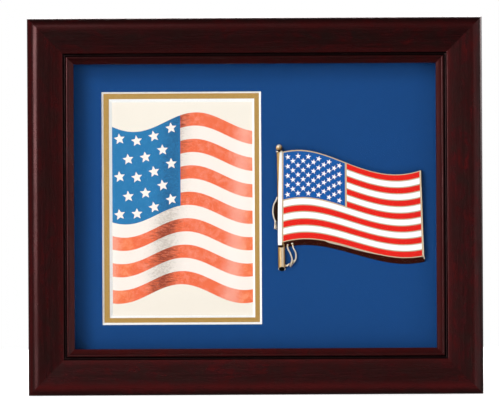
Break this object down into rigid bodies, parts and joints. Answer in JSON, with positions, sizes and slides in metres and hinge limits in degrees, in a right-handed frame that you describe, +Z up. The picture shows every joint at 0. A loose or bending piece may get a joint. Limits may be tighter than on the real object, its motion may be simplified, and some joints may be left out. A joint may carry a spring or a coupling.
{
  "type": "medallion picture frame",
  "caption": "Landscape wooden picture frame with a double mat, a portrait picture window on the left and an enamelled waving-flag medallion on the right; easel leg and turn buttons behind.",
  "frame": {"origin": "middle of the bounding box in X and Y, on the plane the frame stands on", "axes": "+X to the right seen from the front, +Y to the rear (the picture faces -Y), +Z up"},
  "size_m": [0.3048, 0.0304, 0.253],
  "materials": {
    "mahogany": "dark mahogany stain under satin lacquer",
    "clear_glass": "clear picture glass",
    "black_foam_strip": "black foam-core edge",
    "blue_mat_board": "matt blue facing paper, white core at the bevel",
    "gold_mat_board": "matt gold facing paper, white core at the bevel",
    "print_paper": "cream paper, satin print",
    "filler_card": "plain filler board",
    "black_hardboard": "black-painted hardboard",
    "gold_plate": "polished gold plate",
    "red_enamel": "hard gloss enamel",
    "white_enamel": "hard gloss enamel",
    "blue_enamel": "hard gloss enamel",
    "zinc_steel": "bright zinc",
    "black_steel": "black oxide",
    "brassed_steel": "brass-plated steel",
    "black_rubber": "soft rubber"
  },
  "bodies": {
    "frame": {"rail_top": "mahogany", "rail_bottom": "mahogany", "stile_left": "mahogany", "stile_right": "mahogany", "v_nails": "zinc_steel", "glass_pane": "clear_glass", "spacer_top": "black_foam_strip", "spacer_bottom": "black_foam_strip", "spacer_left": "black_foam_strip", "spacer_right": "black_foam_strip", "mat_blue": "blue_mat_board", "mat_gold": "gold_mat_board", "photo_print": "print_paper", "filler_board": "filler_card", "backing_board": "black_hardboard", "medallion_casting": "gold_plate", "enamel_red": "red_enamel", "enamel_white": "white_enamel", "enamel_blue": "blue_enamel", "enamel_stars": "white_enamel", "flag_heading": "white_enamel", "flagpole": "gold_plate", "pole_ferrule": "gold_plate", "pole_finial": "gold_plate", "halyard_upper": "gold_plate", "tassel_upper": "gold_plate", "halyard_lower": "gold_plate", "tassel_lower": "gold_plate", "push_nuts": "zinc_steel", "turn_button_screws": "brassed_steel", "sawtooth_hanger": "zinc_steel", "hanger_nails": "brassed_steel", "bumper_pads": "black_rubber", "easel_board_leaf": "brassed_steel", "easel_board_rivets": "brassed_steel", "easel_hinge_pin": "zinc_steel"},
    "easel": {"easel_leg": "black_hardboard", "easel_leg_leaf": "brassed_steel", "easel_leg_rivets": "brassed_steel"},
    "turn_button_top_left": {"turn_button_top_left": "black_steel"},
    "turn_button_top_right": {"turn_button_top_right": "black_steel"},
    "turn_button_left": {"turn_button_left": "black_steel"},
    "turn_button_right": {"turn_button_right": "black_steel"},
    "turn_button_bottom_left": {"turn_button_bottom_left": "black_steel"},
    "turn_button_bottom_right": {"turn_button_bottom_right": "black_steel"}
  },
  "joints": [
    {"name": "easel_hinge", "type": "hinge", "parent": "frame", "child": "easel", "pos_m": [0, 0.01235, 0.19], "axis": [1, 0, 0], "range_deg": [0, 25]},
    {"name": "turn_button_top_left_pivot", "type": "hinge", "parent": "frame", "child": "turn_button_top_left", "pos_m": [-0.07, 0.01105, 0.2357], "axis": [0, 1, 0], "range_deg": [-90, 90]},
    {"name": "turn_button_top_right_pivot", "type": "hinge", "parent": "frame", "child": "turn_button_top_right", "pos_m": [0.07, 0.01105, 0.2357], "axis": [0, -1, 0], "range_deg": [-90, 90]},
    {"name": "turn_button_left_pivot", "type": "hinge", "parent": "frame", "child": "turn_button_left", "pos_m": [-0.1351, 0.01105, 0.1265], "axis": [0, 1, 0], "range_deg": [-90, 90]},
    {"name": "turn_button_right_pivot", "type": "hinge", "parent": "frame", "child": "turn_button_right", "pos_m": [0.1351, 0.01105, 0.1265], "axis": [0, -1, 0], "range_deg": [-90, 90]},
    {"name": "turn_button_bottom_left_pivot", "type": "hinge", "parent": "frame", "child": "turn_button_bottom_left", "pos_m": [-0.07, 0.01105, 0.0173], "axis": [0, 1, 0], "range_deg": [-90, 90]},
    {"name": "turn_button_bottom_right_pivot", "type": "hinge", "parent": "frame", "child": "turn_button_bottom_right", "pos_m": [0.07, 0.01105, 0.0173], "axis": [0, -1, 0], "range_deg": [-90, 90]}
  ]
}
